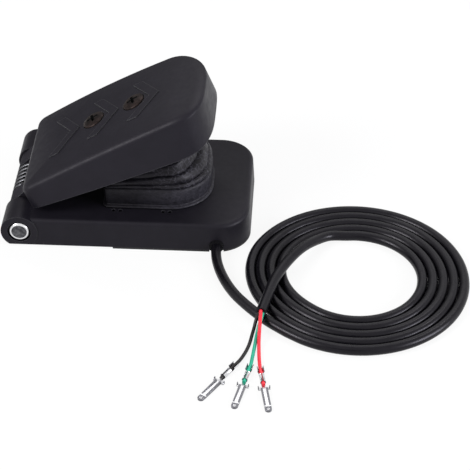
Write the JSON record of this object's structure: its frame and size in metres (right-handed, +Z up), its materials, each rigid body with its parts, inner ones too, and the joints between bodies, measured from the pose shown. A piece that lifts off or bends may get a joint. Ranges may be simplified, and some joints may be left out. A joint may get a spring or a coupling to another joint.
{
  "type": "throttle foot pedal",
  "caption": "Hinged foot pedal on a flat base with a torsion return spring, a rubber bellows over a Hall sensor, and a coiled three-core cable with crimped tab terminals.",
  "frame": {"origin": "on the floor under the middle of the base", "axes": "+X along the base towards the pedal's toe, +Y across the base away from the cable exit, +Z up"},
  "size_m": [0.2058, 0.1674, 0.0691],
  "materials": {
    "housing_plastic": "fine moulded grain, satin",
    "cover_plastic": "fine moulded grain, satin",
    "pedal_plastic": "fine moulded grain, satin",
    "frame_plastic": "plain moulded",
    "boot_rubber": "creased, slight sheen",
    "stop_rubber": "plain moulded",
    "grommet_rubber": "plain moulded",
    "pin_steel": "turned, chamfered ends",
    "spring_steel": "drawn wire",
    "small_screw_steel": "zinc plated",
    "pedal_screw_bronze": "dark bronze plated",
    "magnet_nickel": "nickel plated",
    "bush_plastic": "self-lubricating, plain",
    "sensor_body": "moulded epoxy",
    "board_green": "solder mask",
    "core_insulation": "plain",
    "tie_nylon": "plain",
    "cable_jacket": "satin",
    "wire_black": "satin",
    "wire_green": "satin",
    "wire_red": "satin",
    "terminal_tin": "bright tin plated"
  },
  "bodies": {
    "base": {"base_housing": "housing_plastic", "bottom_cover": "cover_plastic", "bottom_cover_screws": "small_screw_steel", "hinge_pin": "pin_steel", "return_spring": "spring_steel", "dust_boot": "boot_rubber", "boot_base_frame": "frame_plastic", "sensor_holder": "frame_plastic", "sensor_holder_screws": "small_screw_steel", "hall_sensor": "sensor_body", "sensor_board": "board_green", "board_screws": "small_screw_steel", "inner_wires": "core_insulation", "cable_tie": "tie_nylon", "cable_grommet": "grommet_rubber", "press_stop": "stop_rubber", "cable_lead": "cable_jacket", "cable_coil": "cable_jacket", "cable_tail": "cable_jacket", "wire_black": "wire_black", "wire_green": "wire_green", "wire_red": "wire_red", "terminal_black": "terminal_tin", "terminal_green": "terminal_tin", "terminal_red": "terminal_tin"},
    "pedal": {"pedal_plate": "pedal_plastic", "pedal_screws": "pedal_screw_bronze", "pedal_screw_nuts": "small_screw_steel", "magnet_arm": "frame_plastic", "magnets": "magnet_nickel", "hinge_bushes": "bush_plastic", "boot_pedal_frame": "frame_plastic"}
  },
  "joints": [
    {"name": "pedal_hinge", "type": "hinge", "parent": "base", "child": "pedal", "pos_m": [-0.0468, 0, 0.0075], "axis": [0, 1, 0], "range_deg": [0, 16], "stiffness_Nm_per_rad": 0.8, "springref_deg": -31.51, "deforming": ["return_spring", "dust_boot"]}
  ]
}
